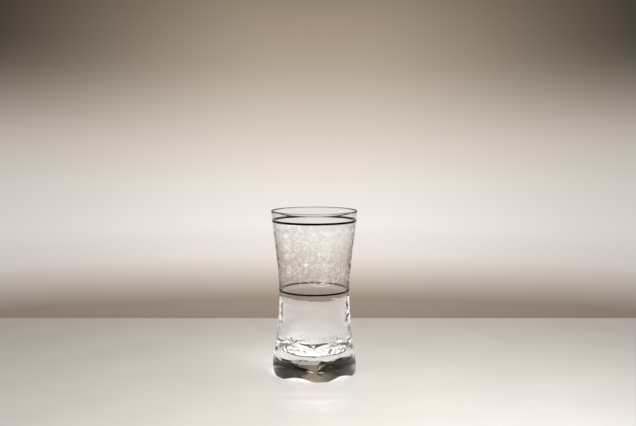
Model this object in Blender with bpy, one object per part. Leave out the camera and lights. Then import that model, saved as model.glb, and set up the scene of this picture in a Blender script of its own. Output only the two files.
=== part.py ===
"""Tall tumbler: a thin flared glass bowl seated in a heavy cased foot, with two fired metal bands.

Metres, +Z up. The origin is on the axis of the glass, at the height of the table that the lobes of
the foot stand on, and -Y is the front.
"""

import math

import bmesh
import bpy

MM = 0.001

# Bowl: one thin blown wall, from the lip to the floor of the cavity
HEIGHT = 140.0 * MM  # table to the top of the lip
RIM_RADIUS = 36.95 * MM  # outside, at the lip
RIM_FLARE = 0.088  # outward run for each unit of rise, at the lip
WAIST_HEIGHT = 72.0 * MM  # table to the narrowest place, where the lower band goes round
WAIST_RADIUS = 30.2 * MM  # outside, at the waist
WAIST_FLARE = 0.023  # outward run for each unit of rise, at the waist
BOWL_WALL = 1.4 * MM
SHOULDER_DROP = 1.2 * MM  # height of the step from the waist in to the sleeve
SLEEVE_TOP_RADIUS = 29.4 * MM  # outside of the sleeve, under the shoulder
SLEEVE_LOW_RADIUS = 28.2 * MM  # outside of the sleeve, where the round bottom starts
SLEEVE_LOW_HEIGHT = 36.0 * MM
FLOOR_HEIGHT = 17.0 * MM  # table to the floor of the cavity, on the axis
FLOOR_SQUARENESS = 4.6  # 2 makes the bottom a round ellipse, more makes its floor flatter

# Bands: metal lustre, fired on the outside of the bowl
BAND_WIDTH = 1.3 * MM
BAND_THICKNESS = 0.25 * MM
UPPER_BAND_DROP = 8.5 * MM  # top of the lip to the middle of the upper band
BAND_MARGIN = 0.3 * MM  # bare wall between the lower band and the shoulder

# Cased foot: the thick casing round the sleeve
CASING_TOP_RADIUS = 30.8 * MM  # outside, at the upper edge
CASING_TAPER = 0.045  # outward run for each unit of drop, down to the knee
KNEE_HEIGHT = 34.0 * MM  # where the wall starts to flare out to the foot
KNEE_RADIUS = 32.4 * MM
FOOT_HEIGHT = 3.6 * MM  # table to the widest place of the foot
FOOT_RADIUS = 36.4 * MM
FOOT_TURN_IN = 1.9 * MM  # how far the edge curls in below the widest place
LAND_WIDTH = 6.0 * MM  # flat of each lobe, along the radius
UNDERSIDE_RISE = 0.7 * MM  # hollow of the underside, on the axis
LOBE_COUNT = 6
LOBE_LIFT = 3.0 * MM  # arch between two lobes, above the table
LOBE_FLUTE = 0.4 * MM  # dip of the wall between two lobes
LOBE_FADE = 14.0 * MM  # height where arches and flutes run out
LOBE_FLAT = 0.1  # share of the wave that stays flat on the table
LOBE_TURN = math.radians(8.7)  # first lobe, to the right of the front

# Fits and fineness
SEAT_GAP = 0.3 * MM  # between pieces that are fused or fired together
SEGMENTS = 10 * LOBE_COUNT  # sides of every turned piece
LIP_STEPS = 4
FLARE_STEPS = 8
SLEEVE_STEPS = 4
BOTTOM_STEPS = 8
CASING_STEPS = 5
KNEE_STEPS = 6
EDGE_STEPS = 4
UNDERSIDE_STEPS = 4

SHOULDER_TOP = WAIST_HEIGHT - BAND_WIDTH / 2 - BAND_MARGIN
SHOULDER_LOW = SHOULDER_TOP - SHOULDER_DROP
UPPER_BAND_HEIGHT = HEIGHT - UPPER_BAND_DROP

# A line is a list of (radius, height) points


def clear_scene():
    """Remove every object of the scene."""
    for thing in list(bpy.data.objects):
        bpy.data.objects.remove(thing, do_unlink=True)


def ease(start, end, share):
    """Point between two (radius, height, slope) stations, with the slopes kept at both ends."""
    radius_a, height_a, slope_a = start
    radius_b, height_b, slope_b = end
    rise = height_b - height_a
    square = share * share
    cube = square * share
    radius = (
        (2 * cube - 3 * square + 1) * radius_a
        + (cube - 2 * square + share) * slope_a * rise
        + (3 * square - 2 * cube) * radius_b
        + (cube - square) * slope_b * rise
    )
    return radius, height_a + share * rise


def ease_line(start, end, steps):
    """Points from just after start to end."""
    return [ease(start, end, step / steps) for step in range(1, steps + 1)]


def waist_station():
    return WAIST_RADIUS, WAIST_HEIGHT, WAIST_FLARE


def rim_station():
    return RIM_RADIUS, HEIGHT, RIM_FLARE


def wall_radius(height):
    """Outside radius of the bowl between the shoulder and the lip."""
    if height <= WAIST_HEIGHT:
        return WAIST_RADIUS - WAIST_FLARE * (WAIST_HEIGHT - height)
    share = (height - WAIST_HEIGHT) / (HEIGHT - WAIST_HEIGHT)
    return ease(waist_station(), rim_station(), share)[0]


def round_edge(inner, outer, top):
    """Half-round edge over a wall, from its inner side to its outer side."""
    middle = (inner + outer) / 2
    bend = (outer - inner) / 2
    angles = [math.pi * (1 - step / LIP_STEPS) for step in range(LIP_STEPS + 1)]
    return [(middle + bend * math.cos(angle), top - bend + bend * math.sin(angle)) for angle in angles]


def sleeve_line(offset):
    """Sleeve and round bottom, from the shoulder down to the axis, offset from the bowl's outside."""
    top = (SLEEVE_TOP_RADIUS + offset, SHOULDER_LOW, 0.0)
    low = (SLEEVE_LOW_RADIUS + offset, SLEEVE_LOW_HEIGHT, 0.0)
    depth = SLEEVE_LOW_HEIGHT - FLOOR_HEIGHT + BOWL_WALL + offset
    line = [top[:2]] + ease_line(top, low, SLEEVE_STEPS)
    for step in range(1, BOTTOM_STEPS):
        angle = math.pi / 2 * step / BOTTOM_STEPS
        run = low[0] * math.cos(angle) ** (2 / FLOOR_SQUARENESS)
        drop = depth * math.sin(angle) ** (2 / FLOOR_SQUARENESS)
        line.append((run, SLEEVE_LOW_HEIGHT - drop))
    line.append((0.0, SLEEVE_LOW_HEIGHT - depth))
    return line


def flare_line(offset):
    """Flared wall from just under the lip down to the top of the shoulder, offset from the outside."""
    lip_base = HEIGHT - BOWL_WALL / 2
    line = []
    for step in range(1, FLARE_STEPS + 1):
        height = lip_base + (WAIST_HEIGHT - lip_base) * step / FLARE_STEPS
        line.append((wall_radius(height) + offset, height))
    line.append((wall_radius(SHOULDER_TOP) + offset, SHOULDER_TOP))
    return line


def bowl_line():
    """Whole section of the bowl: up the cavity, over the lip and down the outside."""
    cavity = flare_line(-BOWL_WALL) + sleeve_line(-BOWL_WALL)
    outside = flare_line(0.0) + sleeve_line(0.0)
    lip_radius = wall_radius(HEIGHT - BOWL_WALL / 2)
    lip = round_edge(lip_radius - BOWL_WALL, lip_radius, HEIGHT)
    return cavity[::-1] + lip + outside


def band_line(height):
    """Section of a band that lies on the bowl's wall, its outer side first."""
    top = height + BAND_WIDTH / 2
    low = height - BAND_WIDTH / 2
    seat_top = wall_radius(top) + SEAT_GAP
    seat_low = wall_radius(low) + SEAT_GAP
    return [
        (seat_top + BAND_THICKNESS, top),
        (seat_low + BAND_THICKNESS, low),
        (seat_low, low),
        (seat_top, top),
    ]


def lobe_wave(angle):
    """0 on the flat of a lobe, 1 in the middle of the arch between two lobes."""
    swing = (1 - math.cos(LOBE_COUNT * angle)) / 2
    return max(0.0, (swing - LOBE_FLAT) / (1 - LOBE_FLAT))


def lobed(point, wave):
    """Point of the foot's outer wall, drawn in and lifted between the lobes."""
    radius, height = point
    share = min(1.0, height / LOBE_FADE)
    weight = wave * (1 - share * share * (3 - 2 * share))
    return radius - LOBE_FLUTE * weight, height + LOBE_LIFT * weight


def foot_line(angle):
    """Section of the cased foot at an angle from its first lobe: socket, upper edge, wall, underside."""
    wave = lobe_wave(angle)
    socket = sleeve_line(SEAT_GAP)
    edge = round_edge(socket[0][0], CASING_TOP_RADIUS, SHOULDER_LOW)
    edge_low = edge[-1]
    knee = (KNEE_RADIUS, KNEE_HEIGHT, -CASING_TAPER)
    foot = (FOOT_RADIUS, FOOT_HEIGHT, 0.0)
    wall = ease_line((edge_low[0], edge_low[1], -CASING_TAPER), knee, CASING_STEPS)
    wall += ease_line(knee, foot, KNEE_STEPS)
    for step in range(1, EDGE_STEPS + 1):
        turn = math.pi / 2 * step / EDGE_STEPS
        curl = FOOT_TURN_IN * (1 - math.cos(turn))
        wall.append((FOOT_RADIUS - curl, FOOT_HEIGHT * (1 - math.sin(turn))))
    wall = [lobed(point, wave) for point in wall]
    land_inner = FOOT_RADIUS - FOOT_TURN_IN - LAND_WIDTH
    underside = []
    for step in range(UNDERSIDE_STEPS + 1):
        share = 1 - step / UNDERSIDE_STEPS
        height = UNDERSIDE_RISE * (1 - share * share) + LOBE_LIFT * wave * share
        underside.append((land_inner * share, height))
    return socket[:0:-1] + edge + wall + underside


def place(name, mesh, material, root):
    """Object for a finished mesh, with its material, held by the tumbler's empty."""
    mesh.materials.append(material)
    piece = bpy.data.objects.new(name, mesh)
    bpy.context.collection.objects.link(piece)
    piece.parent = root
    return piece


def turned(name, line, closed, material, root):
    """Round piece: a section line at +X, turned about the axis by a Screw modifier."""
    mesh = bpy.data.meshes.new(name)
    edges = [(index, index + 1) for index in range(len(line) - 1)]
    if closed:
        edges.append((len(line) - 1, 0))
    mesh.from_pydata([(radius, 0.0, height) for radius, height in line], edges, [])
    piece = place(name, mesh, material, root)
    screw = piece.modifiers.new("turn", "SCREW")
    screw.angle = 2 * math.pi
    screw.steps = SEGMENTS
    screw.render_steps = SEGMENTS
    screw.use_merge_vertices = True
    screw.merge_threshold = 0.01 * MM
    screw.use_smooth_shade = True
    return piece


def lobed_foot(name, material, root):
    """Cased foot: one section line for each segment, joined into a closed skin."""
    build = bmesh.new()
    columns = []
    for segment in range(SEGMENTS):
        angle = 2 * math.pi * segment / SEGMENTS
        across = math.sin(angle)
        along = -math.cos(angle)
        line = foot_line(angle)
        columns.append([build.verts.new((radius * across, radius * along, height)) for radius, height in line])
    for column, following in zip(columns, columns[1:] + columns[:1]):
        for index in range(len(column) - 1):
            build.faces.new((column[index], column[index + 1], following[index + 1], following[index]))
    bmesh.ops.remove_doubles(build, verts=build.verts, dist=0.01 * MM)
    bmesh.ops.recalc_face_normals(build, faces=build.faces)
    mesh = bpy.data.meshes.new(name)
    build.to_mesh(mesh)
    build.free()
    mesh.shade_smooth()
    piece = place(name, mesh, material, root)
    piece.rotation_euler = (0.0, 0.0, LOBE_TURN)
    return piece


def clear_glass(name):
    """Clear soda-lime glass, smooth from the fire."""
    material = bpy.data.materials.new(name)
    material.use_nodes = True
    shader = material.node_tree.nodes["Principled BSDF"]
    shader.inputs["Base Color"].default_value = (0.96, 0.97, 0.96, 1.0)
    shader.inputs["Roughness"].default_value = 0.02
    shader.inputs["IOR"].default_value = 1.52
    shader.inputs["Transmission Weight"].default_value = 1.0
    return material


def metal_lustre(name):
    """Dark fired metal film."""
    material = bpy.data.materials.new(name)
    material.use_nodes = True
    shader = material.node_tree.nodes["Principled BSDF"]
    shader.inputs["Base Color"].default_value = (0.05, 0.045, 0.04, 1.0)
    shader.inputs["Metallic"].default_value = 1.0
    shader.inputs["Roughness"].default_value = 0.25
    return material


def main():
    """Build the tumbler."""
    clear_scene()
    root = bpy.data.objects.new("tumbler", None)
    bpy.context.collection.objects.link(root)
    turned("bowl", bowl_line(), False, clear_glass("bowl_glass"), root)
    lobed_foot("cased_foot", clear_glass("foot_glass"), root)
    turned("upper_band", band_line(UPPER_BAND_HEIGHT), True, metal_lustre("upper_lustre"), root)
    turned("lower_band", band_line(WAIST_HEIGHT), True, metal_lustre("lower_lustre"), root)


main()
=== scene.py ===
"""Tall tumbler, dressed: one clear fused glass body, two metal lustre bands and an etched frieze.

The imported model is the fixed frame. Metres, +Z up, and -Y is the side that faces the camera.
"""

import logging
import math
from collections.abc import Iterable
from dataclasses import dataclass, fields
from enum import Enum
from typing import Any

import bmesh
import bpy
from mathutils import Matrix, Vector


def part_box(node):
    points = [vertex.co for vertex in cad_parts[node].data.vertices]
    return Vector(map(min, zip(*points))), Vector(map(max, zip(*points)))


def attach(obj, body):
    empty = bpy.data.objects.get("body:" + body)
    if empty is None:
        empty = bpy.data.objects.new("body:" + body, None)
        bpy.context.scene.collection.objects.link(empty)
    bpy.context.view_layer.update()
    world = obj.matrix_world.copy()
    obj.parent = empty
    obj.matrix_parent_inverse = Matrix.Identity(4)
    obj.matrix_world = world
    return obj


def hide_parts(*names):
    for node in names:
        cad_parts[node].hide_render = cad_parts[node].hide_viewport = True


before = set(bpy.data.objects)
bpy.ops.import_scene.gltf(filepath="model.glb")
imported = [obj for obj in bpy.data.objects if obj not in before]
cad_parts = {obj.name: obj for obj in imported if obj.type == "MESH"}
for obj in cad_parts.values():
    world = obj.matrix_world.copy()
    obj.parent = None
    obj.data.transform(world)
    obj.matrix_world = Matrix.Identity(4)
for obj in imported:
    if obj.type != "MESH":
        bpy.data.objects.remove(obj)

LOG = logging.getLogger("tumbler")
MM = 0.001
ROOT_BODY = "root"

# Kinds of node that come up often
MATH = "ShaderNodeMath"
VECTOR_MATH = "ShaderNodeVectorMath"
MAP_RANGE = "ShaderNodeMapRange"
JOIN_XYZ = "ShaderNodeCombineXYZ"
SPLIT_XYZ = "ShaderNodeSeparateXYZ"
NOISE = "ShaderNodeTexNoise"
PRINCIPLED = "ShaderNodeBsdfPrincipled"

# Strokes are drawn flat at the bowl's middling radius, and rays from outside find the wall under them
WRAP_RADIUS = 33.0 * MM
RAY_REACH = 60.0 * MM
STROKE_EDGE = math.radians(40)  # faces that meet at more than this keep a sharp edge
LEAF_BELLY = 0.8  # below 1, a leaf is widest nearer to its root
VOLUTE_STEP = 15.0  # degrees of a scroll's turn in one straight piece
VOLUTE_LEAST = 12  # fewest straight pieces in a scroll

# Points closer together than this become one
GLASS_WELD = 0.001 * MM
STROKE_WELD = 0.0005 * MM

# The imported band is 0.25 mm thick and stands 0.3 mm off the bowl
PACKED_BAND_STAND_OFF = 0.55 * MM

# The backdrop from below the table's edge up to the dark above: degrees of elevation, and colour
BACKDROP = (
    (-30.0, "#14110f"),
    (-13.0, "#97877b"),
    (-11.2, "#a08f81"),
    (-8.4, "#e9e1d9"),
    (-6.0, "#f4ede8"),
    (-3.0, "#ece4dc"),
    (5.0, "#b2a392"),
    (9.4, "#958574"),
    (20.0, "#8c7c6b"),
    (24.0, "#4a3e35"),
    (28.0, "#2c1e10"),
    (36.0, "#24180c"),
    (60.0, "#34240f"),
)
BACKDROP_LOW = -0.5  # sine of the lowest elevation in the list
BACKDROP_HIGH = 1.0  # sine of straight up

Point = tuple[float, float]
Stroke = list[Point]
Socket = bpy.types.NodeSocket
Sockets = dict[str | int, Any]


class Slot(Enum):
    """Material slots of the record."""

    GLASS = "clear_glass"
    LUSTRE = "metal_lustre"


class SocketKind(Enum):
    """Kinds of input that a geometry tree can have."""

    NUMBER = "NodeSocketFloat"
    COUNT = "NodeSocketInt"
    SWITCH = "NodeSocketBool"
    OBJECT = "NodeSocketObject"
    MATERIAL = "NodeSocketMaterial"


def linear(hex_colour: str) -> tuple[float, float, float, float]:
    """Turn an sRGB hex colour to linear light.

    Args:
        hex_colour: colour as "#rrggbb".

    Returns:
        Linear red, green, blue and an alpha of 1.
    """
    parts = [int(hex_colour[place : place + 2], 16) / 255 for place in (1, 3, 5)]
    light = [part / 12.92 if part <= 0.04045 else ((part + 0.055) / 1.055) ** 2.4 for part in parts]
    return light[0], light[1], light[2], 1.0


def wire(tree: bpy.types.NodeTree, kind: str, inputs: Sockets | None = None, **settings: Any) -> Any:
    """Add a node with its settings, and set or link its inputs.

    Args:
        tree: node tree that takes the node.
        kind: Blender's name of the node.
        inputs: input name or place, to the value it has or the socket that feeds it.
        **settings: properties of the node.

    Returns:
        The node's first output, or the node itself where it has none.
    """
    node = tree.nodes.new(kind)
    for name, value in settings.items():
        setattr(node, name, value)
    for key, value in (inputs or {}).items():
        if isinstance(value, Socket):
            tree.links.new(value, node.inputs[key])
        else:
            node.inputs[key].default_value = value
    return node.outputs[0] if len(node.outputs) else node


def shares(steps: int, start: int = 0) -> list[float]:
    """Equal shares of a run, from the step given to the last, which is 1."""
    return [step / steps for step in range(start, steps + 1)]


def smooth_step(share: float) -> float:
    """Ease a share from 0 to 1, held at both ends."""
    held = min(1.0, max(0.0, share))
    return held * held * (3 - 2 * held)


@dataclass(frozen=True)
class Station:
    """A place on a wall: its radius, its height and its outward run for each unit of rise."""

    radius: float
    height: float
    slope: float


def ease(start: Station, end: Station, share: float) -> Point:
    """Place on a smooth wall between two stations.

    Args:
        start: where the wall starts.
        end: where the wall ends.
        share: 0 at the start and 1 at the end.

    Returns:
        Radius and height.
    """
    rise = end.height - start.height
    square = share * share
    cube = square * share
    radius = (
        (2 * cube - 3 * square + 1) * start.radius
        + (cube - 2 * square + share) * start.slope * rise
        + (3 * square - 2 * cube) * end.radius
        + (cube - square) * end.slope * rise
    )
    return radius, start.height + share * rise


def wall(start: Station, end: Station, pitch: float) -> list[Point]:
    """Points of a smooth wall after its start, about a pitch apart.

    Args:
        start: where the wall starts.
        end: where the wall ends.
        pitch: wanted distance between points.

    Returns:
        Points from just after the start to the end.
    """
    length = math.hypot(end.height - start.height, end.radius - start.radius)
    steps = max(2, round(length / pitch))
    return [ease(start, end, share) for share in shares(steps, 1)]


class Tree:
    """A geometry node tree with named inputs, run to give plain meshes."""

    def __init__(self, name: str, inputs: dict[str, SocketKind]) -> None:
        """Start a tree.

        Args:
            name: name of the tree.
            inputs: names and kinds of its inputs, after the geometry.
        """
        self.nodes = bpy.data.node_groups.new(name, "GeometryNodeTree")
        self.nodes.interface.new_socket("Geometry", in_out="INPUT", socket_type="NodeSocketGeometry")
        self.nodes.interface.new_socket("Geometry", in_out="OUTPUT", socket_type="NodeSocketGeometry")
        self.keys = {}
        for label, kind in inputs.items():
            socket = self.nodes.interface.new_socket(label, in_out="INPUT", socket_type=kind.value)
            self.keys[label] = socket.identifier
        self.source = self.nodes.nodes.new("NodeGroupInput").outputs

    def add(self, kind: str, inputs: Sockets | None = None, **settings: Any) -> Any:
        """Add a node to the tree, as wire does."""
        return wire(self.nodes, kind, inputs, **settings)

    def outward(self, angle: Socket) -> Socket:
        """Direction away from the axis.

        Args:
            angle: place round the glass, from the front.

        Returns:
            Level direction of length 1.
        """
        sine = self.add(MATH, {0: angle}, operation="SINE")
        cosine = self.add(MATH, {0: angle}, operation="COSINE")
        back = self.add(MATH, {0: cosine, 1: -1.0}, operation="MULTIPLY")
        return self.add(JOIN_XYZ, {0: sine, 1: back})

    def spot(self, outward: Socket, reach: Socket, height: Socket) -> Socket:
        """Place at a distance from the axis.

        Args:
            outward: direction away from the axis.
            reach: distance from the axis.
            height: height above the table.

        Returns:
            The place.
        """
        away = self.add(VECTOR_MATH, {0: outward, "Scale": reach}, operation="SCALE")
        rise = self.add(JOIN_XYZ, {2: height})
        return self.add(VECTOR_MATH, {0: away, 1: rise}, operation="ADD")

    def close(self, geometry: Socket, seat: Socket, weld: float) -> None:
        """End the tree: seat the points, weld the seams, realize, give the material and put out.

        Args:
            geometry: the shape before its points are seated.
            seat: finished place of each point.
            weld: distance within which points become one.
        """
        seated = self.add("GeometryNodeSetPosition", {"Geometry": geometry, "Position": seat})
        welded = self.add("GeometryNodeMergeByDistance", {"Geometry": seated, "Distance": weld})
        real = self.add("GeometryNodeRealizeInstances", {0: welded})
        finish = self.source["Material"]
        dressed = self.add("GeometryNodeSetMaterial", {"Geometry": real, "Material": finish})
        self.add("NodeGroupOutput", {0: dressed})

    def run(self, name: str, data: bpy.types.ID, values: dict[str, Any]) -> bpy.types.Object:
        """Run the tree on a mesh or curve.

        Args:
            name: name of the finished piece.
            data: mesh or curve that the tree starts from.
            values: value for each named input.

        Returns:
            The finished piece: a plain smooth mesh at the origin, its faces outwards.
        """
        bench = bpy.data.objects.new(name + "_bench", data)
        bpy.context.collection.objects.link(bench)
        modifier = bench.modifiers.new("shape", "NODES")
        modifier.node_group = self.nodes
        for label, value in values.items():
            modifier[self.keys[label]] = value
        graph = bpy.context.evaluated_depsgraph_get()
        mesh = bpy.data.meshes.new_from_object(bench.evaluated_get(graph), depsgraph=graph)
        bench.modifiers.remove(modifier)
        bpy.data.objects.remove(bench)
        mesh.name = name
        shell = bmesh.new()
        shell.from_mesh(mesh)
        bmesh.ops.recalc_face_normals(shell, faces=shell.faces)
        shell.to_mesh(mesh)
        shell.free()
        mesh.shade_smooth()
        piece = bpy.data.objects.new(name, mesh)
        bpy.context.collection.objects.link(piece)
        return piece


def join_frame(piece: bpy.types.Object, slot: Slot, *nodes: str) -> None:
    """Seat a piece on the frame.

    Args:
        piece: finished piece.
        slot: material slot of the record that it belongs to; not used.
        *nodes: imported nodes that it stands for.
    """
    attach(piece, ROOT_BODY)
    if nodes:
        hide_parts(*nodes)
    LOG.info("%s: %d faces", piece.name, len(piece.data.polygons))


def mottled(name: str, width: float, detail: float) -> tuple[bpy.types.Material, Socket]:
    """Start a material with the soft noise that its surface varies by.

    Args:
        name: name of the material.
        width: width of the noise's patches.
        detail: how many finer noises lie over it.

    Returns:
        The material, still without a shader, and the noise.
    """
    material = bpy.data.materials.new(name)
    material.use_nodes = True
    tree = material.node_tree
    tree.nodes.clear()
    place = wire(tree, "ShaderNodeTexCoord").node.outputs["Object"]
    noise = wire(tree, NOISE, {"Vector": place, "Scale": 1 / width, "Detail": detail})
    return material, noise


def rough_coat(material: bpy.types.Material, noise: Socket, roughness: Point, inputs: Sockets) -> None:
    """Cover a material with one coat whose roughness follows its noise.

    Args:
        material: material that mottled has started.
        noise: its noise.
        roughness: least and greatest roughness.
        inputs: the coat's other inputs.
    """
    tree = material.node_tree
    low, high = roughness
    rough = wire(tree, MAP_RANGE, {"Value": noise, "To Min": low, "To Max": high})
    coat = wire(tree, PRINCIPLED, {"Roughness": rough} | inputs)
    wire(tree, "ShaderNodeOutputMaterial", {"Surface": coat})


@dataclass(frozen=True)
class ClearGlass:
    """Soda-lime glass, blown and fire polished: clear, untinted, with soft cords in the thick parts."""

    tint: str = "#fefefe"
    shadow_tint: str = "#ffffff"
    ior: float = 1.52
    cord_width: float = 9 * MM
    cord_depth: float = 1 * MM
    cord_strength: float = 0.02

    def material(self) -> bpy.types.Material:
        """Make the material.

        Returns:
            Glass that bends what is seen through it and lets lamp light pass to the table.
        """
        material, cords = mottled("blown_soda_lime_glass", self.cord_width, detail=1.0)
        tree = material.node_tree
        bump = wire(
            tree,
            "ShaderNodeBump",
            {"Height": cords, "Strength": self.cord_strength, "Distance": self.cord_depth},
        )
        glass = wire(
            tree,
            PRINCIPLED,
            {
                "Base Color": linear(self.tint),
                "Roughness": 0.0,
                "IOR": self.ior,
                "Transmission Weight": 1.0,
                "Normal": bump,
            },
        )
        passing = wire(tree, "ShaderNodeBsdfTransparent", {"Color": linear(self.shadow_tint)})
        lamp_ray = wire(tree, "ShaderNodeLightPath").node.outputs["Is Shadow Ray"]
        surface = wire(tree, "ShaderNodeMixShader", {0: lamp_ray, 1: glass, 2: passing})
        wire(tree, "ShaderNodeOutputMaterial", {"Surface": surface})
        return material


@dataclass(frozen=True)
class MetalLustre:
    """Metal lustre, brushed on and fired, with a faint unevenness from the brush; its near-black colour is
    painted shade for the dark room that the metal mirrors.
    """

    # Painted shade: the bright metal's own colour is darkened to near black, for the dark room that it
    # mirrors
    colour: str = "#171412"
    roughness: Point = (0.14, 0.34)
    brush_width: float = 0.4 * MM

    def material(self) -> bpy.types.Material:
        """Make the material.

        Returns:
            Polished metal whose colour is painted near black, as shade for the dark room that it mirrors.
        """
        material, brush = mottled("fired_metal_lustre", self.brush_width, detail=3.0)
        rough_coat(material, brush, self.roughness, {"Base Color": linear(self.colour), "Metallic": 1.0})
        return material


@dataclass(frozen=True)
class EtchedGlass:
    """Glass bitten by acid along fine lines: a white frost that glows with any light that meets it.

    The grit of such a bite is about 0.02 mm. It is drawn 0.15 mm wide here, so that it shows.
    """

    colour: str = "#f6f4f0"
    ior: float = 1.52
    clearness: float = 0.1
    cover: float = 0.68
    roughness: Point = (0.15, 0.55)
    grit: float = 0.15 * MM

    def material(self) -> bpy.types.Material:
        """Make the material.

        Returns:
            Frosted glass, part clear and part white.
        """
        material, grains = mottled("acid_etched_glass", self.grit, detail=2.0)
        frost = {
            "Base Color": linear(self.colour),
            "IOR": self.ior,
            "Transmission Weight": self.clearness,
            "Alpha": self.cover,
        }
        rough_coat(material, grains, self.roughness, frost)
        return material


@dataclass(frozen=True)
class TableTop:
    """Pale lacquered board: satin white with a soft mirror image of what stands on it."""

    colour: str = "#edece9"
    shade: str = "#e7e6e3"
    shade_place: float = 0.3
    colour_place: float = 0.7
    cloud_width: float = 70 * MM
    roughness: Point = (0.05, 0.11)
    ior: float = 1.25

    def material(self) -> bpy.types.Material:
        """Make the material.

        Returns:
            Pale satin lacquer.
        """
        material, clouds = mottled("pale_lacquered_board", self.cloud_width, detail=3.0)
        colour = wire(material.node_tree, "ShaderNodeValToRGB", {0: clouds})
        low, high = colour.node.color_ramp.elements
        low.position, high.position = self.shade_place, self.colour_place
        low.color, high.color = linear(self.shade), linear(self.colour)
        rough_coat(material, clouds, self.roughness, {"Base Color": colour, "IOR": self.ior})
        return material


@dataclass(frozen=True)
class SectionPoint:
    """A point of the glass's section, and the share that each kind of shaping has there."""

    radius: float
    height: float
    lift: float = 0.0
    back_lift: float = 0.0
    flute: float = 0.0
    ripple: float = 0.0
    dimple: float = 0.0


@dataclass(frozen=True)
class TurnedSizes:
    """Sizes that the turning tree takes as its inputs."""

    columns: int = 240
    # Lobes with arches between them, which a slow drift round the foot spaces unevenly
    lobe_count: int = 6
    lobe_lift: float = 3.0 * MM
    lobe_flute: float = 0.4 * MM
    lobe_flat: float = 0.18
    lobe_turn: float = math.radians(10)
    lobe_drift: float = math.radians(5)
    lobe_drift_turn: float = math.radians(55)
    # Share of the way back at which the star's longer arches start, and at which they are full
    star_start: float = 0.55
    star_full: float = 0.95
    # Ripples of the casing, left by hand work
    ripple_depth: float = 0.4 * MM
    ripple_rise: float = 4.5 * MM
    ripple_run: float = 12.0 * MM
    # Dimples round the edge of the floor
    dimple_count: int = 28
    dimple_depth: float = 1.2 * MM
    dimple_width: float = 4.5 * MM
    dimple_evenness: float = 0.35
    seed: float = 4.0


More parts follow.
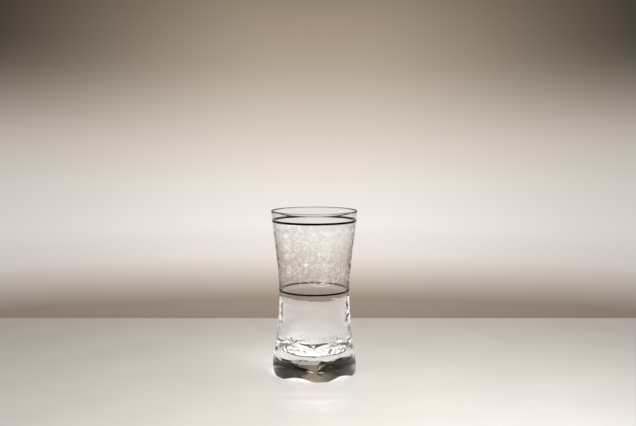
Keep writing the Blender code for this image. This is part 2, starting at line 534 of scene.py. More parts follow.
class TurningTree(Tree):
    """Tree that turns the section about the axis, draws the foot into lobes and ripples the casing."""

    def __init__(self, sizes: TurnedSizes) -> None:
        """Build the tree.

        Args:
            sizes: sizes that become inputs of the tree, each under its own name.
        """
        self.values = {name.replace("_", " ").title(): size for name, size in vars(sizes).items()}
        inputs = {"Rows": SocketKind.COUNT, "Material": SocketKind.MATERIAL}
        for label, size in self.values.items():
            inputs[label] = SocketKind.COUNT if isinstance(size, int) else SocketKind.NUMBER
        super().__init__("turned_glass", inputs)
        source = self.source
        rows = source["Rows"]
        with_seam = self.add(MATH, {0: source["Columns"], 1: 1.0}, operation="ADD")
        grid = self.add("GeometryNodeMeshGrid", {"Vertices X": with_seam, "Vertices Y": rows})
        index = self.add("GeometryNodeInputIndex")
        row = self.add(MATH, {0: index, 1: rows}, operation="MODULO")
        share = self.add(MATH, {0: index, 1: rows}, operation="DIVIDE")
        column = self.add(MATH, {0: share}, operation="FLOOR")
        turns = self.add(MATH, {0: column, 1: source["Columns"]}, operation="DIVIDE")
        angle = self.add(MATH, {0: turns, 1: 2 * math.pi}, operation="MULTIPLY")
        outward = self.outward(angle)
        section = {}
        for field in fields(SectionPoint):
            value = self.add("GeometryNodeInputNamedAttribute", {"Name": field.name}, data_type="FLOAT")
            section[field.name] = self.add(
                "GeometryNodeSampleIndex",
                {"Geometry": source["Geometry"], "Value": value, "Index": row},
                data_type="FLOAT",
            )

        # Lobes: lifted arches that also draw the wall in, with the star's longer arches behind
        arch = self.arches(angle)
        back = self.add(SPLIT_XYZ, {0: outward}).node.outputs["Y"]
        behind = self.add(
            MAP_RANGE,
            {"Value": back, "From Min": source["Star Start"], "From Max": source["Star Full"]},
            interpolation_type="SMOOTHSTEP",
        )
        front_lift = section["lift"]
        more = self.add(MATH, {0: section["back_lift"], 1: front_lift}, operation="SUBTRACT")
        weight = self.add(MATH, {0: more, 1: behind, 2: front_lift}, operation="MULTIPLY_ADD")
        lift = self.add(MATH, {0: arch, 1: weight}, operation="MULTIPLY")
        rise = self.add(MATH, {0: lift, 1: source["Lobe Lift"]}, operation="MULTIPLY")
        height = self.add(MATH, {0: section["height"], 1: rise}, operation="ADD")
        dip = self.add(MATH, {0: arch, 1: section["flute"]}, operation="MULTIPLY")
        flute = self.add(MATH, {0: dip, 1: source["Lobe Flute"]}, operation="MULTIPLY")
        radius = self.add(MATH, {0: section["radius"], 1: flute}, operation="SUBTRACT")
        lobed = self.spot(outward, radius, height)

        # Ripples and dimples move the lobed wall to its finished place
        ripple = self.ripple(lobed, section["ripple"])
        dent = self.dimple(angle, lobed, section["dimple"])
        rippled = self.add(MATH, {0: radius, 1: ripple}, operation="ADD")
        reach = self.add(MATH, {0: rippled, 1: dent}, operation="ADD")
        level = self.add(MATH, {0: height, 1: dent}, operation="SUBTRACT")
        self.close(grid, self.spot(outward, reach, level), GLASS_WELD)

    def arches(self, angle: Socket) -> Socket:
        """Arches between the lobes.

        Args:
            angle: place round the glass.

        Returns:
            0 on the flats of the lobes and 1 at the tops of the arches.
        """
        source = self.source
        drifted = []
        for place in (angle, source["Lobe Turn"]):
            off = self.add(MATH, {0: place, 1: source["Lobe Drift Turn"]}, operation="SUBTRACT")
            drift = self.add(MATH, {0: off}, operation="COSINE")
            gain = self.add(MATH, {0: drift, 1: source["Lobe Drift"]}, operation="MULTIPLY")
            drifted.append(self.add(MATH, {0: place, 1: gain}, operation="SUBTRACT"))
        from_lobe = self.add(MATH, {0: drifted[0], 1: drifted[1]}, operation="SUBTRACT")
        phase = self.add(MATH, {0: from_lobe, 1: source["Lobe Count"]}, operation="MULTIPLY")
        swing = self.add(MATH, {0: phase}, operation="COSINE")
        wave = self.add(MAP_RANGE, {"Value": swing, "From Min": 1.0, "From Max": -1.0})
        return self.add(MAP_RANGE, {"Value": wave, "From Min": source["Lobe Flat"]})

    def ripple(self, spot: Socket, weight: Socket) -> Socket:
        """Ripples of the casing, wider round the glass than they are high.

        Args:
            spot: place on the lobed wall.
            weight: share that the ripples have there.

        Returns:
            How far the wall moves outwards.
        """
        source = self.source
        run = source["Ripple Run"]
        size = self.add(JOIN_XYZ, {0: run, 1: run, 2: source["Ripple Rise"]})
        grain = self.add(VECTOR_MATH, {0: spot, 1: size}, operation="DIVIDE")
        noise = self.add(
            NOISE,
            {"Vector": grain, "W": source["Seed"], "Scale": 1.0, "Detail": 1.0},
            noise_dimensions="4D",
        )
        uneven = self.add(MATH, {0: noise, 1: 0.5}, operation="SUBTRACT")
        weighed = self.add(MATH, {0: uneven, 1: weight}, operation="MULTIPLY")
        return self.add(MATH, {0: weighed, 1: source["Ripple Depth"]}, operation="MULTIPLY")

    def dimple(self, angle: Socket, spot: Socket, weight: Socket) -> Socket:
        """Dimples round the edge of the floor: an even row, broken up by noise.

        Args:
            angle: place round the glass.
            spot: place on the lobed wall.
            weight: share that the dimples have there.

        Returns:
            How far the wall moves outwards and down.
        """
        source = self.source
        fineness = self.add(MATH, {0: 1.0, 1: source["Dimple Width"]}, operation="DIVIDE")
        noise = self.add(
            NOISE,
            {"Vector": spot, "W": source["Seed"], "Scale": fineness, "Detail": 0.0},
            noise_dimensions="4D",
        )
        uneven = self.add(MATH, {0: noise, 1: 0.5}, operation="SUBTRACT")
        count, evenness = source["Dimple Count"], source["Dimple Evenness"]
        phase = self.add(MATH, {0: angle, 1: count, 2: uneven}, operation="MULTIPLY_ADD")
        row = self.add(MATH, {0: phase}, operation="COSINE")
        mixed = self.add(MATH, {0: row, 1: evenness, 2: uneven}, operation="MULTIPLY_ADD")
        weighed = self.add(MATH, {0: mixed, 1: weight}, operation="MULTIPLY")
        return self.add(MATH, {0: weighed, 1: source["Dimple Depth"]}, operation="MULTIPLY")


@dataclass
class GlassBody:
    """Bowl and cased foot, fused: a turned body whose foot is drawn into lobes.

    Flares and tapers are outward run for each unit of rise.
    """

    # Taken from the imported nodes
    height: float
    rim_radius: float
    waist_height: float
    waist_radius: float
    # Bowl: thin at the lip and thicker at the waist
    rim_flare: float = 0.088
    waist_flare: float = 0.023
    lip_wall: float = 1.1 * MM
    waist_wall: float = 1.7 * MM
    wall_run: float = 60.0 * MM
    # Cavity below the waist, down to a floor with squarish edges
    collar_drop: float = 4.0 * MM
    cavity_neck_drop: float = 18.0 * MM
    cavity_neck_radius: float = 27.5 * MM
    cavity_taper: float = 0.072
    cavity_low_radius: float = 26.8 * MM
    cavity_low_height: float = 36.0 * MM
    floor_height: float = 15.5 * MM
    floor_squareness: float = 3.4
    # Casing, from the collar under the lower band down to the foot
    neck_drop: float = 12.0 * MM
    casing_top_radius: float = 30.8 * MM
    casing_taper: float = 0.045
    knee_height: float = 34.0 * MM
    knee_radius: float = 32.4 * MM
    foot_height: float = 3.6 * MM
    foot_radius: float = 36.4 * MM
    foot_turn_in: float = 0.8 * MM
    land_width: float = 8.0 * MM
    underside_rise: float = 0.3 * MM
    # Share that arches, star, ripples and dimples have from place to place on the section
    lobe_fade: float = 14.0 * MM
    star_lift: float = 0.15
    star_reach: float = 0.6
    land_power: int = 8
    foot_ripple: float = 0.3
    foot_ripple_fade: float = 18.0 * MM
    neck_ripple_fade: float = 22.0 * MM
    dimple_start: float = 0.75
    dimple_run: float = 0.2
    dimple_rise: float = 14.0 * MM
    # Fineness of the section
    floor_steps: int = 36
    cavity_steps: int = 40
    lip_steps: int = 10
    bowl_steps: int = 44
    foot_steps: int = 12
    underside_steps: int = 24
    wide_pitch: float = 1.2 * MM
    casing_pitch: float = 0.6 * MM
    neck_pitch: float = 0.5 * MM
    collar_pitch: float = 0.4 * MM

    def flare(self, height: float) -> float:
        """Outside radius of the bowl.

        Args:
            height: height above the table, from the waist up.

        Returns:
            The radius there.
        """
        low = Station(self.waist_radius, self.waist_height, self.waist_flare)
        top = Station(self.rim_radius, self.height, self.rim_flare)
        share = (height - self.waist_height) / (self.height - self.waist_height)
        return ease(low, top, share)[0]

    def bowl_wall(self, height: float) -> float:
        """Thickness of the bowl at a height above the waist: it grows from the lip down to the waist."""
        share = smooth_step((height - self.waist_height) / self.wall_run)
        return self.waist_wall + (self.lip_wall - self.waist_wall) * share

    def cavity(self) -> list[Point]:
        """Line of the cavity.

        Returns:
            Points from the middle of its floor up to the lip.
        """
        depth = self.cavity_low_height - self.floor_height
        power = 2 / self.floor_squareness
        line = []
        for share in shares(self.floor_steps):
            turn = math.pi / 2 * share
            run = self.cavity_low_radius * math.sin(turn) ** power
            drop = depth * max(0.0, math.cos(turn)) ** power
            line.append((run, self.cavity_low_height - drop))
        inner_waist = self.waist_radius - self.waist_wall
        low = Station(self.cavity_low_radius, self.cavity_low_height, 0.0)
        neck_height = self.waist_height - self.cavity_neck_drop
        neck = Station(self.cavity_neck_radius, neck_height, self.cavity_taper)
        collar = Station(inner_waist, self.waist_height - self.collar_drop, 0.0)
        waist = Station(inner_waist, self.waist_height, self.waist_flare)
        line += wall(low, neck, self.wide_pitch)
        line += wall(neck, collar, self.neck_pitch)
        line += wall(collar, waist, self.neck_pitch)
        rise = self.height - self.lip_wall / 2 - self.waist_height
        for share in shares(self.cavity_steps, 1)[:-1]:
            height = self.waist_height + rise * share
            line.append((self.flare(height) - self.bowl_wall(height), height))
        return line

    def lip(self) -> list[Point]:
        """Half-round of the lip.

        Returns:
            Points from the cavity over to the outside.
        """
        bend = self.lip_wall / 2
        base = self.height - bend
        middle = self.flare(base) - bend
        turns = [math.pi * (1 - share) for share in shares(self.lip_steps)]
        return [(middle + bend * math.cos(turn), base + bend * math.sin(turn)) for turn in turns]

    def outside(self) -> list[Point]:
        """Line of the outside.

        Returns:
            Points from under the lip down to the edge of the foot.
        """
        lip_base = self.height - self.lip_wall / 2
        line = []
        for share in shares(self.bowl_steps, 1):
            height = lip_base + (self.waist_height - lip_base) * share
            line.append((self.flare(height), height))
        collar_height = self.waist_height - self.collar_drop
        waist = Station(self.waist_radius, self.waist_height, self.waist_flare)
        shoulder = Station(self.waist_radius, collar_height, 0.0)
        neck = Station(self.casing_top_radius, collar_height - self.neck_drop, -self.casing_taper)
        knee = Station(self.knee_radius, self.knee_height, -self.casing_taper)
        foot = Station(self.foot_radius, self.foot_height, 0.0)
        line += wall(waist, shoulder, self.collar_pitch)
        line += wall(shoulder, neck, self.collar_pitch)
        line += wall(neck, knee, self.casing_pitch)
        line += wall(knee, foot, self.casing_pitch)
        for share in shares(self.foot_steps, 1):
            turn = math.pi / 2 * share
            curl = self.foot_turn_in * (1 - math.cos(turn))
            line.append((self.foot_radius - curl, self.foot_height * (1 - math.sin(turn))))
        return line

    def section(self) -> bpy.types.Mesh:
        """Section of the glass as loose points, from the floor of the cavity round to the underside.

        Returns:
            Mesh of loose points at radius and height, with an attribute for each field of SectionPoint.
        """
        points = []
        for radius, height in self.cavity() + self.lip():
            edge = smooth_step((radius / self.cavity_low_radius - self.dimple_start) / self.dimple_run)
            fade = 1 - smooth_step((height - self.floor_height) / self.dimple_rise)
            points.append(SectionPoint(radius, height, dimple=edge * fade))
        for radius, height in self.outside():
            fade = 1 - smooth_step(height / self.lobe_fade)
            above_foot = smooth_step(height / self.foot_ripple_fade)
            foot_share = self.foot_ripple + (1 - self.foot_ripple) * above_foot
            ripple = foot_share * smooth_step((self.waist_height - height) / self.neck_ripple_fade)
            points.append(SectionPoint(radius, height, fade, fade, fade, ripple))
        land = self.foot_radius - self.foot_turn_in - self.land_width
        for inward in shares(self.underside_steps):
            share = 1 - inward
            height = self.underside_rise * (1 - share * share)
            star = self.star_lift * math.tanh(share / self.star_lift)
            lift = star + (1 - self.star_lift) * share**self.land_power
            back_lift = min(1.0, share / self.star_reach)
            ripple = self.foot_ripple * share
            points.append(SectionPoint(land * share, height, lift, back_lift, ripple=ripple))
        mesh = bpy.data.meshes.new("glass_section")
        mesh.from_pydata([(point.radius, 0.0, point.height) for point in points], [], [])
        for field in fields(SectionPoint):
            attribute = mesh.attributes.new(field.name, "FLOAT", "POINT")
            attribute.data.foreach_set("value", [getattr(point, field.name) for point in points])
        return mesh

    def build(self, finish: ClearGlass) -> bpy.types.Object:
        """Build and dress the glass.

        Args:
            finish: the glass that it is made of.

        Returns:
            The finished piece.
        """
        section = self.section()
        tree = TurningTree(TurnedSizes())
        values = tree.values | {"Rows": len(section.vertices), "Material": finish.material()}
        piece = tree.run("glass_body", section, values)
        join_frame(piece, Slot.GLASS, "bowl", "cased_foot")
        return piece


def round_point(middle: Point, reach: Point, turn: float) -> Point:
    """Point of an ellipse, at an angle in degrees from the right, anticlockwise."""
    angle = math.radians(turn)
    return middle[0] + reach[0] * math.cos(angle), middle[1] + reach[1] * math.sin(angle)


def arc(middle: Point, reach: Point, start: float, sweep: float, steps: int = 16) -> Stroke:
    """Part of an ellipse.

    Args:
        middle: centre.
        reach: half width and half height.
        start: angle where it starts, in degrees from the right, anticlockwise.
        sweep: angle that it covers, in degrees.
        steps: number of straight pieces.

    Returns:
        The stroke.
    """
    return [round_point(middle, reach, start + sweep * share) for share in shares(steps)]


def volute(middle: Point, outer: float, inner: float, start: float, sweep: float) -> Stroke:
    """Scroll that winds in by equal shares.

    Args:
        middle: eye of the scroll.
        outer: radius where it starts.
        inner: radius where it ends.
        start: angle where it starts, in degrees.
        sweep: angle that it winds through, in degrees.

    Returns:
        The stroke.
    """
    stroke = []
    for share in shares(max(VOLUTE_LEAST, round(abs(sweep) / VOLUTE_STEP))):
        radius = outer * (inner / outer) ** share
        stroke.append(round_point(middle, (radius, radius), start + sweep * share))
    return stroke


def leaf(root: Point, heading: float, length: float, width: float) -> Stroke:
    """Outline of a pointed leaf, there and back.

    Args:
        root: where its stalk joins.
        heading: direction of its tip, in degrees.
        length: root to tip.
        width: greatest width.

    Returns:
        The stroke.
    """
    steps = 7
    forward = math.cos(math.radians(heading)), math.sin(math.radians(heading))
    stroke = []
    for step in range(-steps, steps + 1):
        share = 1 - abs(step) / steps
        side = math.copysign(0.5 * width * math.sin(math.pi * share**LEAF_BELLY), step)
        along = length * share
        across = -forward[1] * side, forward[0] * side
        stroke.append((root[0] + forward[0] * along + across[0], root[1] + forward[1] * along + across[1]))
    return stroke


def fan(root: Point, headings: Iterable[float], length: float, width: float) -> list[Stroke]:
    """Leaves of one size that spread from a root, one for each heading."""
    return [leaf(root, heading, length, width) for heading in headings]


def mirrored(strokes: list[Stroke], axis: float) -> list[Stroke]:
    """The strokes and their mirror image about an upright axis."""
    return strokes + [[(2 * axis - x, y) for x, y in stroke] for stroke in strokes]


def flat_strokes(name: str, strokes: list[Stroke]) -> bpy.types.Curve:
    """Lay strokes out flat, ready for the stroke tree.

    Args:
        name: name of the curve.
        strokes: lines of points in metres.

    Returns:
        Curve with one straight-pieced spline for each stroke.
    """
    curve = bpy.data.curves.new(name, "CURVE")
    curve.dimensions = "3D"
    for stroke in strokes:
        spline = curve.splines.new("POLY")
        spline.points.add(len(stroke) - 1)
        for point, (x, y) in zip(spline.points, stroke):
            point.co = (x, y, 0.0, 1.0)
    return curve


class StrokeTree(Tree):
    """Tree that gives flat strokes a width, repeats them and wraps them round the glass.

    Strokes start flat: x runs along the wall at the wrap radius, and y is the height.
    """

    def __init__(self, glass: bpy.types.Object) -> None:
        """Build the tree.

        Args:
            glass: glass body that carries the strokes.
        """
        inputs = {
            "Repeats": SocketKind.COUNT,
            "Pitch": SocketKind.NUMBER,
            "Stroke Width": SocketKind.NUMBER,
            "Stroke Thickness": SocketKind.NUMBER,
            "Wrap Radius": SocketKind.NUMBER,
            "Stand Off": SocketKind.NUMBER,
            "Reach": SocketKind.NUMBER,
            "Fill Caps": SocketKind.SWITCH,
            "Glass": SocketKind.OBJECT,
            "Material": SocketKind.MATERIAL,
        }
        super().__init__("strokes_on_glass", inputs)
        self.values = {"Wrap Radius": WRAP_RADIUS, "Reach": RAY_REACH, "Glass": glass}
        source = self.source
        level = self.add("GeometryNodeSetCurveNormal", {0: source["Geometry"]}, mode="Z_UP")
        nib = self.add(
            "GeometryNodeCurvePrimitiveQuadrilateral",
            {"Width": source["Stroke Width"], "Height": source["Stroke Thickness"]},
            mode="RECTANGLE",
        )
        drawn = self.add(
            "GeometryNodeCurveToMesh",
            {"Curve": level, "Profile Curve": nib, "Fill Caps": source["Fill Caps"]},
        )
        shift = self.add(JOIN_XYZ, {0: source["Pitch"]})
        starts = self.add("GeometryNodeMeshLine", {"Count": source["Repeats"], "Offset": shift})
        copies = self.add("GeometryNodeInstanceOnPoints", {"Points": starts, "Instance": drawn})
        flat = self.add("GeometryNodeRealizeInstances", {0: copies})
        place = self.add(SPLIT_XYZ, {0: self.add("GeometryNodeInputPosition")}).node.outputs
        angle = self.add(MATH, {0: place["X"], 1: source["Wrap Radius"]}, operation="DIVIDE")
        outward = self.outward(angle)
        shape = self.add("GeometryNodeObjectInfo", {"Object": source["Glass"]}).node.outputs["Geometry"]
        ray = self.add(
            "GeometryNodeRaycast",
            {
                "Target Geometry": shape,
                "Source Position": self.spot(outward, source["Reach"], place["Y"]),
                "Ray Direction": self.add(VECTOR_MATH, {0: outward, "Scale": -1.0}, operation="SCALE"),
                "Ray Length": source["Reach"],
            },
        )
        hit = ray.node.outputs["Hit Position"]
        clear = self.add(MATH, {0: place["Z"], 1: source["Stand Off"]}, operation="ADD")
        proud = self.add(VECTOR_MATH, {0: outward, "Scale": clear}, operation="SCALE")
        seat = self.add(VECTOR_MATH, {0: hit, 1: proud}, operation="ADD")
        self.close(flat, seat, STROKE_WELD)

    def lay(self, name: str, curve: bpy.types.Curve, values: dict[str, Any]) -> bpy.types.Object:
        """Lay strokes on the glass.

        Args:
            name: name of the finished piece.
            curve: the flat strokes.
            values: value for each input that differs from piece to piece.

        Returns:
            The finished piece.
        """
        piece = self.run(name, curve, self.values | values)
        piece.data.set_sharp_from_angle(angle=STROKE_EDGE)
        return piece


@dataclass
class LustreBand:
    """One ring of lustre, painted by hand on the turning glass: its width wavers a little."""

    name: str
    node: str
    width: float
    thickness: float = 0.10 * MM
    waver: float = 0.04
    slow_waves: int = 7
    quick_waves: int = 17
    steps: int = 180

    def build(self, tree: StrokeTree, finish: bpy.types.Material) -> None:
        """Paint the band.

        Args:
            tree: the stroke tree.
            finish: lustre.
        """
        low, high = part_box(self.node)
        height = (low[2] + high[2]) / 2
        round_trip = 2 * math.pi * WRAP_RADIUS
        line = [(round_trip * share, height) for share in shares(self.steps)]
        curve = flat_strokes(self.name + "_line", [line])
        for share, point in zip(shares(self.steps), curve.splines[0].points):
            turn = 2 * math.pi * share
            waves = math.sin(self.slow_waves * turn) + math.sin(self.quick_waves * turn + 1)
            point.radius = 1 + self.waver * waves
        values = {
            "Repeats": 1,
            "Pitch": round_trip,
            "Stroke Width": self.width,
            "Stroke Thickness": self.thickness,
            "Stand Off": 0.0,
            "Fill Caps": False,
            "Material": finish,
        }
        piece = tree.lay(self.name, curve, values)
        join_frame(piece, Slot.LUSTRE, self.node)


@dataclass
class EtchedFrieze:
    """Frieze of traditional scrolls, needle etched into the bowl: swags, volutes, medallions and loops.

    A needle line is about 0.15 mm wide. It is drawn 0.3 mm wide here, so that it still shows at arm's
    length. The drawing's lengths are millimetres on the wall, and its angles are degrees.
    """

    repeats: int = 5
    start_share: float = -0.3
    swag_height: float = 88.5 * MM
    swag_drop: float = 9.0 * MM
    swag_steps: int = 24
    swag_leaves: int = 6
    scroll_height: float = 104.0 * MM
    border_height: float = 124.0 * MM
    border_arches: int = 4
    stroke_width: float = 0.3 * MM
    stroke_thickness: float = 0.05 * MM
    stroke_gap: float = 0.01 * MM

    @property
    def pitch(self) -> float:
        """Length of one repeat along the wall."""
        return 2 * math.pi * WRAP_RADIUS / self.repeats

    def cord(self, share: float) -> Point:
        """Place on the cord of a swag, which hangs as a parabola."""
        sag = 1 - (2 * share - 1) ** 2
        return self.pitch * share, self.swag_height - self.swag_drop * sag

    def swags(self) -> list[Stroke]:
        """Hanging cords with leaves, tied with a bow where they meet.

        Returns:
            The strokes.
        """
        strokes = [[self.cord(share) for share in shares(self.swag_steps)]]
        for share in shares(self.swag_leaves + 1, 1)[:-1]:
            lean = 70 * (share - 0.5)
            strokes.append(leaf(self.cord(share), 55 + lean, 4.2 * MM, 1.9 * MM))
        knot = (0.0, self.swag_height)
        bow = [
            leaf(knot, 28, 6.0 * MM, 3.2 * MM),
            arc((2.0 * MM, self.swag_height - 3.6 * MM), (2.2 * MM, 3.4 * MM), 150, -120),
        ]
        strokes += mirrored(bow, 0.0)
        strokes.append(arc(knot, (0.9 * MM, 0.9 * MM), 0, 360))
        strokes.append(leaf((0.0, self.swag_height - 1.0 * MM), -90, 6.5 * MM, 1.6 * MM))
        return strokes

    def sprays(self) -> list[Stroke]:
        """Palmettes in the hollows of the swags, with tendrils that fill the ground round them.

        Returns:
            The strokes.
        """
        middle = self.pitch / 2
        root = (middle, self.swag_height - self.swag_drop + 2.0 * MM)
        strokes = []
        for heading, length in ((90, 8.6), (66, 7.8), (114, 7.8), (42, 6.6), (138, 6.6)):
            strokes.append(leaf(root, heading, length * MM, 1.9 * MM))
        tendrils = [
            volute((middle + 8.2 * MM, self.swag_height + 0.6 * MM), 4.2 * MM, 0.6 * MM, 230, 600),
            volute((middle + 14.6 * MM, self.swag_height + 4.0 * MM), 2.8 * MM, 0.5 * MM, 200, -560),
            volute((middle + 7.4 * MM, self.scroll_height + 13.0 * MM), 3.2 * MM, 0.5 * MM, 240, -600),
            leaf((middle + 5.4 * MM, self.scroll_height - 5.6 * MM), -34, 4.6 * MM, 1.8 * MM),
            leaf((middle + 11.0 * MM, self.scroll_height + 10.0 * MM), 24, 4.4 * MM, 1.7 * MM),
        ]
        return strokes + mirrored(tendrils, middle)

    def volutes(self) -> list[Stroke]:
        """Pairs of scrolls that rise from the bows and wind outwards, with leaves on their backs.

        Returns:
            The strokes.
        """
        eye = (8.2 * MM, self.scroll_height)
        scrolls = [
            volute(eye, 7.6 * MM, 1.0 * MM, 205, -690),
            volute((4.6 * MM, self.scroll_height + 13.2 * MM), 4.6 * MM, 0.8 * MM, 270, 610),
            arc((0.2 * MM, self.scroll_height - 6.0 * MM), (1.6 * MM, 8.0 * MM), -90, 130),
        ]
        for turn in range(-60, 190, 42):
            root = round_point(eye, (7.2 * MM, 7.2 * MM), turn)
            scrolls.append(leaf(root, turn + 38, 4.6 * MM, 2.0 * MM))
        return mirrored(scrolls, 0.0)

    def medallion(self) -> list[Stroke]:
        """Double oval with a rosette and leaves above and below, between the pairs of scrolls.

        Returns:
            The strokes.
        """
        middle = (self.pitch / 2, self.scroll_height + 2.0 * MM)
        strokes = [
            arc(middle, (3.9 * MM, 5.4 * MM), 0, 360, 36),
            arc(middle, (4.7 * MM, 6.3 * MM), 0, 360, 36),
            arc(middle, (0.8 * MM, 0.8 * MM), 0, 360, 12),
        ]
        strokes += fan(middle, range(0, 360, 60), 3.4 * MM, 1.8 * MM)
        stalk = (middle[0], middle[1] + 7.6 * MM)
        strokes += fan(stalk, (90, 52, 128, 20, 160), 5.2 * MM, 1.7 * MM)
        root = (middle[0], middle[1] - 7.6 * MM)
        return strokes + fan(root, (-90, -48, -132, -12, -168), 5.6 * MM, 1.8 * MM)

    def border(self) -> list[Stroke]:
        """Scalloped edge under the upper band: hanging arches with a bud at each point.

        Returns:
            The strokes.
        """
        span = self.pitch / self.border_arches
        strokes = []
        for count in range(self.border_arches):
            middle = (span * (count + 0.5), self.border_height + 2.0 * MM)
            strokes.append(arc(middle, (span / 2, 3.2 * MM), 180, 180))
            strokes.append(arc(middle, (span / 2 - 1.1 * MM, 2.0 * MM), 180, 180))
            strokes.append(leaf((span * count, self.border_height + 1.6 * MM), -90, 3.6 * MM, 1.7 * MM))
            strokes.append(leaf((middle[0], middle[1] - 3.4 * MM), -90, 2.4 * MM, 1.2 * MM))
        return strokes

    def build(self, tree: StrokeTree, finish: bpy.types.Material) -> None:
        """Etch the frieze.

        Args:
            tree: the stroke tree.
            finish: etched glass.
        """
        drawing = self.swags() + self.sprays() + self.volutes() + self.medallion() + self.border()
        start = self.start_share * self.pitch
        strokes = [[(start + x, y) for x, y in stroke] for stroke in drawing]
        values = {
            "Repeats": self.repeats,
            "Pitch": self.pitch,
            "Stroke Width": self.stroke_width,
            "Stroke Thickness": self.stroke_thickness,
            "Stand Off": 0.5 * self.stroke_thickness + self.stroke_gap,
            "Fill Caps": True,
            "Material": finish,
        }
        piece = tree.lay("etched_frieze", flat_strokes("frieze_lines", strokes), values)
        join_frame(piece, Slot.GLASS)


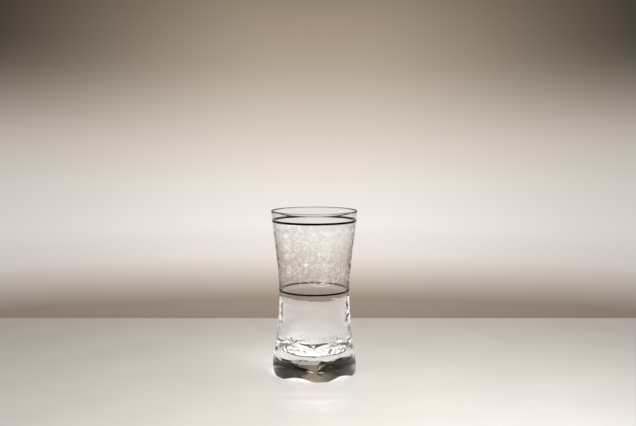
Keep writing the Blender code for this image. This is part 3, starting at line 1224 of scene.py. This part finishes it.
@dataclass
class Studio:
    """Pale table, plain graded backdrop and soft light."""

    table_back: float = 0.207
    table_front: float = -0.50
    table_reach: float = 0.80
    table_thickness: float = 0.02
    lamp_power: float = 2.2
    lamp_size: float = 0.28
    lamp_place: tuple[float, float, float] = (0.16, -0.30, 0.41)
    lamp_aim: tuple[float, float, float] = (0.0, 0.0, 0.07)
    # Light that falls on plain surfaces from all round
    ambient: float = 0.41
    ambient_colour: str = "#fff1e4"
    # The backdrop is full bright behind the glass, half as bright in front, and dimmer at sides and slants
    glow_core: float = 0.03
    glow_edge: float = 0.45
    front_glow: float = 0.5
    # The first value of each pair holds low down, and between two elevations gives way to the second
    gloom: Point = (0.7, 0.035)
    side_glow: Point = (0.85, 0.2)
    low_end: float = math.radians(-1)
    high_start: float = math.radians(7)
    # A little over 1, so that the level share of a heading straight up is not zero
    just_over_one: float = 1.0001
    # Thick glass needs many bounces
    bounces: int = 32
    mirror_bounces: int = 16

    def table(self) -> None:
        """Make the table top, whose upper face is the plane that the glass stands on."""
        mesh = bpy.data.meshes.new("table_top")
        low = Vector((-self.table_reach, self.table_front, -self.table_thickness))
        high = Vector((self.table_reach, self.table_back, 0.0))
        board = bmesh.new()
        bmesh.ops.create_cube(board, size=1.0)
        for vertex in board.verts:
            vertex.co = Vector(top if side > 0 else end for end, top, side in zip(low, high, vertex.co))
        board.to_mesh(mesh)
        board.free()
        mesh.materials.append(TableTop().material())
        piece = bpy.data.objects.new("table_top", mesh)
        bpy.context.collection.objects.link(piece)

    def lamp(self) -> None:
        """Hang one broad soft lamp in front of the glass, aimed at it.

        Rays that have passed through glass do not see it, so that its hot image stays out of the foot.
        """
        light = bpy.data.lights.new("soft_box", "AREA")
        light.shape = "RECTANGLE"
        light.size = self.lamp_size
        light.size_y = self.lamp_size
        light.energy = self.lamp_power
        lamp = bpy.data.objects.new("soft_box", light)
        lamp.location = self.lamp_place
        heading = Vector(self.lamp_aim) - lamp.location
        lamp.rotation_euler = heading.to_track_quat("-Z", "Y").to_euler()
        lamp.visible_transmission = False
        bpy.context.collection.objects.link(lamp)

    def brightness(self, tree: bpy.types.NodeTree, heading: Any) -> Socket:
        """How bright the backdrop is in each direction.

        Args:
            tree: node tree of the world.
            heading: sockets of the direction's X, Y and Z.

        Returns:
            Strength, up to 1.
        """
        level = wire(tree, MATH, {0: heading["Z"], 1: 2.0}, operation="POWER")
        flat = wire(tree, MATH, {0: self.just_over_one, 1: level}, operation="SUBTRACT")
        product = wire(tree, MATH, {0: heading["X"], 1: heading["Y"]}, operation="MULTIPLY")
        slant = wire(tree, MATH, {0: product, 1: flat}, operation="DIVIDE")
        turn = wire(tree, MATH, {0: slant}, operation="ABSOLUTE")
        low, high = math.sin(self.low_end), math.sin(self.high_start)
        raised = wire(
            tree,
            MAP_RANGE,
            {"Value": heading["Z"], "From Min": low, "From Max": high},
            interpolation_type="SMOOTHSTEP",
        )
        gap, side = (
            wire(tree, MAP_RANGE, {"Value": raised, "To Min": below, "To Max": above})
            for below, above in (self.gloom, self.side_glow)
        )
        glow = wire(
            tree,
            MAP_RANGE,
            {
                "Value": turn,
                "From Min": self.glow_core,
                "From Max": self.glow_edge,
                "To Min": 1.0,
                "To Max": gap,
            },
            interpolation_type="SMOOTHSTEP",
        )
        along = wire(tree, MATH, {0: heading["Y"], 1: 2.0}, operation="POWER")
        facing = wire(tree, MATH, {0: along, 1: flat}, operation="DIVIDE")
        share = wire(tree, MAP_RANGE, {"Value": facing, "To Min": side, "To Max": 1.0})
        front = wire(
            tree,
            MAP_RANGE,
            {"Value": heading["Y"], "From Min": -1.0, "From Max": 0.0, "To Min": self.front_glow},
        )
        dimmed = wire(tree, MATH, {0: share, 1: front}, operation="MULTIPLY")
        return wire(tree, MATH, {0: glow, 1: dimmed}, operation="MULTIPLY")

    def backdrop(self) -> None:
        """Light the world: a pale glow low behind the glass, seen by eye, mirror and glass alike."""
        world = bpy.data.worlds.new("studio")
        bpy.context.scene.world = world
        world.use_nodes = True
        tree = world.node_tree
        tree.nodes.clear()
        place = wire(tree, "ShaderNodeTexCoord")
        heading = wire(tree, SPLIT_XYZ, {0: place}).node.outputs
        ramp = wire(
            tree,
            MAP_RANGE,
            {"Value": heading["Z"], "From Min": BACKDROP_LOW, "From Max": BACKDROP_HIGH},
        )
        shade = wire(tree, "ShaderNodeValToRGB", {0: ramp})
        elements = shade.node.color_ramp.elements
        while len(elements) < len(BACKDROP):
            elements.new(0.5)
        for element, (angle, colour) in zip(elements, BACKDROP):
            rise = math.sin(math.radians(angle)) - BACKDROP_LOW
            element.position = rise / (BACKDROP_HIGH - BACKDROP_LOW)
            element.color = linear(colour)
        strength = self.brightness(tree, heading)
        seen = wire(tree, "ShaderNodeBackground", {"Color": shade, "Strength": strength})
        glow = linear(self.ambient_colour)
        lit = wire(tree, "ShaderNodeBackground", {"Color": glow, "Strength": self.ambient})
        path = wire(tree, "ShaderNodeLightPath").node.outputs
        eye = path["Is Camera Ray"]
        for ray in ("Is Glossy Ray", "Is Transmission Ray"):
            eye = wire(tree, MATH, {0: eye, 1: path[ray]}, operation="MAXIMUM")
        mixed = wire(tree, "ShaderNodeMixShader", {0: eye, 1: lit, 2: seen})
        wire(tree, "ShaderNodeOutputWorld", {"Surface": mixed})

    def build(self) -> None:
        """Set up the table, the lamp, the backdrop and the scene's settings."""
        self.table()
        self.lamp()
        self.backdrop()
        scene = bpy.context.scene
        scene.view_settings.view_transform = "Standard"
        scene.cycles.max_bounces = self.bounces
        scene.cycles.glossy_bounces = self.mirror_bounces
        scene.cycles.transmission_bounces = self.bounces


@dataclass
class PhotoCamera:
    """Camera at the photograph's viewing angle."""

    frame_width: int = 636
    focal_pixels: float = 814.0
    sensor_width: float = 36.0
    distance: float = 0.692
    height: float = 0.2013
    aside: float = 0.0032
    tilt: float = math.radians(5.26)

    def build(self) -> None:
        """Place the camera and make it the scene's own."""
        lens = bpy.data.cameras.new("photo_camera")
        lens.sensor_width = self.sensor_width
        lens.lens = self.focal_pixels / self.frame_width * self.sensor_width
        camera = bpy.data.objects.new("photo_camera", lens)
        camera.location = (self.aside, -self.distance, self.height)
        camera.rotation_euler = (math.pi / 2 - self.tilt, 0.0, 0.0)
        bpy.context.collection.objects.link(camera)
        bpy.context.scene.camera = camera


def glass_from_frame() -> GlassBody:
    """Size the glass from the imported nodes.

    Returns:
        The glass body.
    """
    bowl_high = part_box("bowl")[1]
    band_low, band_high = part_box("lower_band")
    return GlassBody(
        height=bowl_high[2],
        rim_radius=bowl_high[0],
        waist_height=(band_low[2] + band_high[2]) / 2,
        waist_radius=band_high[0] - PACKED_BAND_STAND_OFF,
    )


def main() -> None:
    """Build the tumbler and its studio."""
    logging.basicConfig(level=logging.INFO, format="%(message)s")
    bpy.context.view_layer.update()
    PhotoCamera().build()
    Studio().build()
    glass = glass_from_frame().build(ClearGlass())
    tree = StrokeTree(glass)
    lustre = MetalLustre().material()
    LustreBand("upper_lustre", "upper_band", width=1.9 * MM).build(tree, lustre)
    LustreBand("lower_lustre", "lower_band", width=1.5 * MM).build(tree, lustre)
    EtchedFrieze().build(tree, EtchedGlass().material())


if __name__ == "__main__":
    main()
